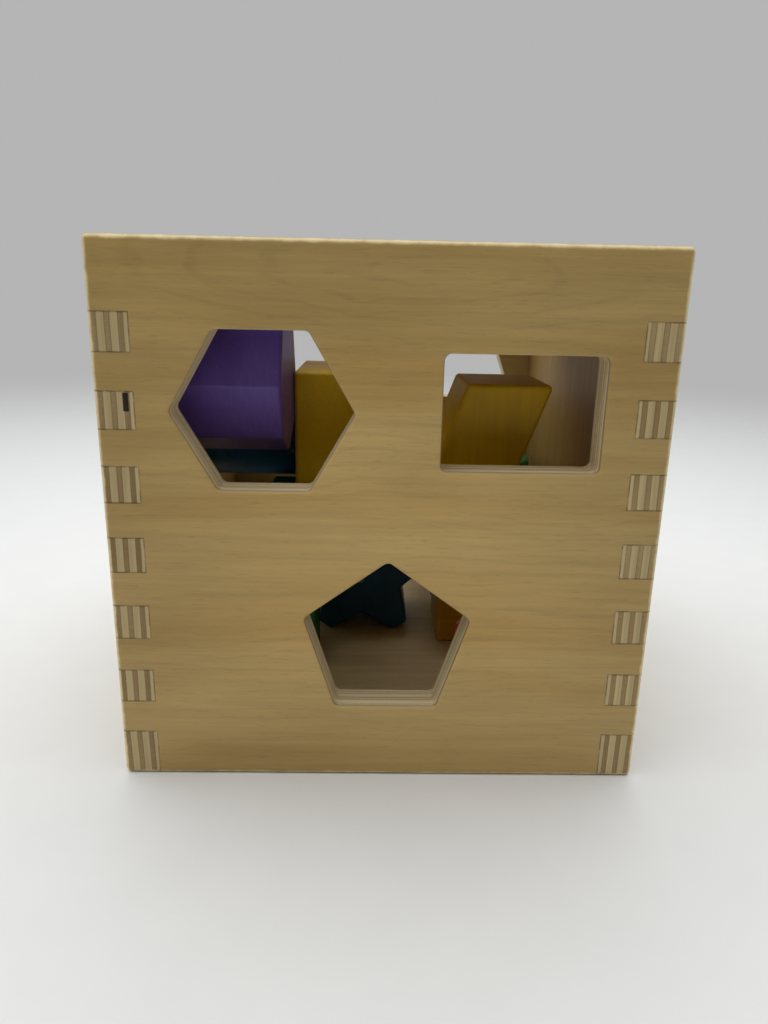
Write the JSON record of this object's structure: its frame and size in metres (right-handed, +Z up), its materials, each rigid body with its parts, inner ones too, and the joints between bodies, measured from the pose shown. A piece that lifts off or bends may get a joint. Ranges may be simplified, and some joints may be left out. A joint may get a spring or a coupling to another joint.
{
  "type": "shape sorter",
  "caption": "Finger-jointed plywood cube with shaped openings, a lift-off lid and painted wooden blocks that post through the openings.",
  "frame": {"origin": "on the ground under the middle of the cube", "axes": "+Z up, the wall with the hexagon, rectangle and pentagon openings faces -Y, +X to the right as seen from that side"},
  "size_m": [0.14, 0.14, 0.14],
  "materials": {
    "plywood": "sanded birch-type plywood with a thin satin clear coat",
    "yellow_paint": "solid wood under glossy yellow paint",
    "purple_paint": "solid wood under glossy purple paint",
    "blue_paint": "solid wood under glossy blue paint",
    "green_paint": "solid wood under glossy green paint",
    "red_paint": "solid wood under glossy red paint"
  },
  "bodies": {
    "cube": {"front_wall": "plywood", "back_wall": "plywood", "left_wall": "plywood", "right_wall": "plywood", "floor_panel": "plywood"},
    "lid": {"lid": "plywood"},
    "hexagon_block": {"hexagon_block": "red_paint"},
    "rectangle_block": {"rectangle_block": "yellow_paint"},
    "pentagon_block": {"pentagon_block": "green_paint"},
    "square_block": {"square_block": "yellow_paint"},
    "parallelogram_block": {"parallelogram_block": "yellow_paint"},
    "star_block": {"star_block": "blue_paint"},
    "octagon_block": {"octagon_block": "purple_paint"},
    "oval_block": {"oval_block": "blue_paint"},
    "trapezoid_block": {"trapezoid_block": "green_paint"},
    "triangle_block": {"triangle_block": "red_paint"},
    "circle_block": {"circle_block": "green_paint"},
    "cross_block": {"cross_block": "purple_paint"}
  },
  "joints": [
    {"name": "lid_lift", "type": "slide", "parent": "cube", "child": "lid", "axis": [0, 0, 1], "range_m": [0, 0.15]},
    {"name": "hexagon_move", "type": "slide", "parent": "cube", "child": "hexagon_block", "axis": [-1, 0, 0], "range_m": [0, 0.015]},
    {"name": "rectangle_move", "type": "slide", "parent": "cube", "child": "rectangle_block", "axis": [0, -1, 0], "range_m": [0, 0.011]},
    {"name": "pentagon_move", "type": "slide", "parent": "cube", "child": "pentagon_block", "axis": [0, -1, 0], "range_m": [0, 0.02]},
    {"name": "square_move", "type": "slide", "parent": "cube", "child": "square_block", "axis": [0, 0, 1], "range_m": [0, 0.0245]},
    {"name": "parallelogram_move", "type": "slide", "parent": "cube", "child": "parallelogram_block", "axis": [0, 0, 1], "range_m": [0, 0.025]},
    {"name": "star_move", "type": "slide", "parent": "cube", "child": "star_block", "axis": [0, 0, 1], "range_m": [0, 0.012]},
    {"name": "octagon_move", "type": "slide", "parent": "cube", "child": "octagon_block", "axis": [-1, 0, 0], "range_m": [0, 0.055]},
    {"name": "oval_move", "type": "slide", "parent": "cube", "child": "oval_block", "axis": [0, 0, 1], "range_m": [0, 0.034]},
    {"name": "trapezoid_move", "type": "slide", "parent": "cube", "child": "trapezoid_block", "axis": [0, -1, 0], "range_m": [0, 0.03]},
    {"name": "triangle_move", "type": "slide", "parent": "cube", "child": "triangle_block", "axis": [-1, 0, 0], "range_m": [0, 0.01]},
    {"name": "circle_move", "type": "slide", "parent": "cube", "child": "circle_block", "axis": [0, 0, 1], "range_m": [0, 0.11]},
    {"name": "cross_move", "type": "slide", "parent": "cube", "child": "cross_block", "axis": [-1, 0, 0], "range_m": [0, 0.01]}
  ]
}
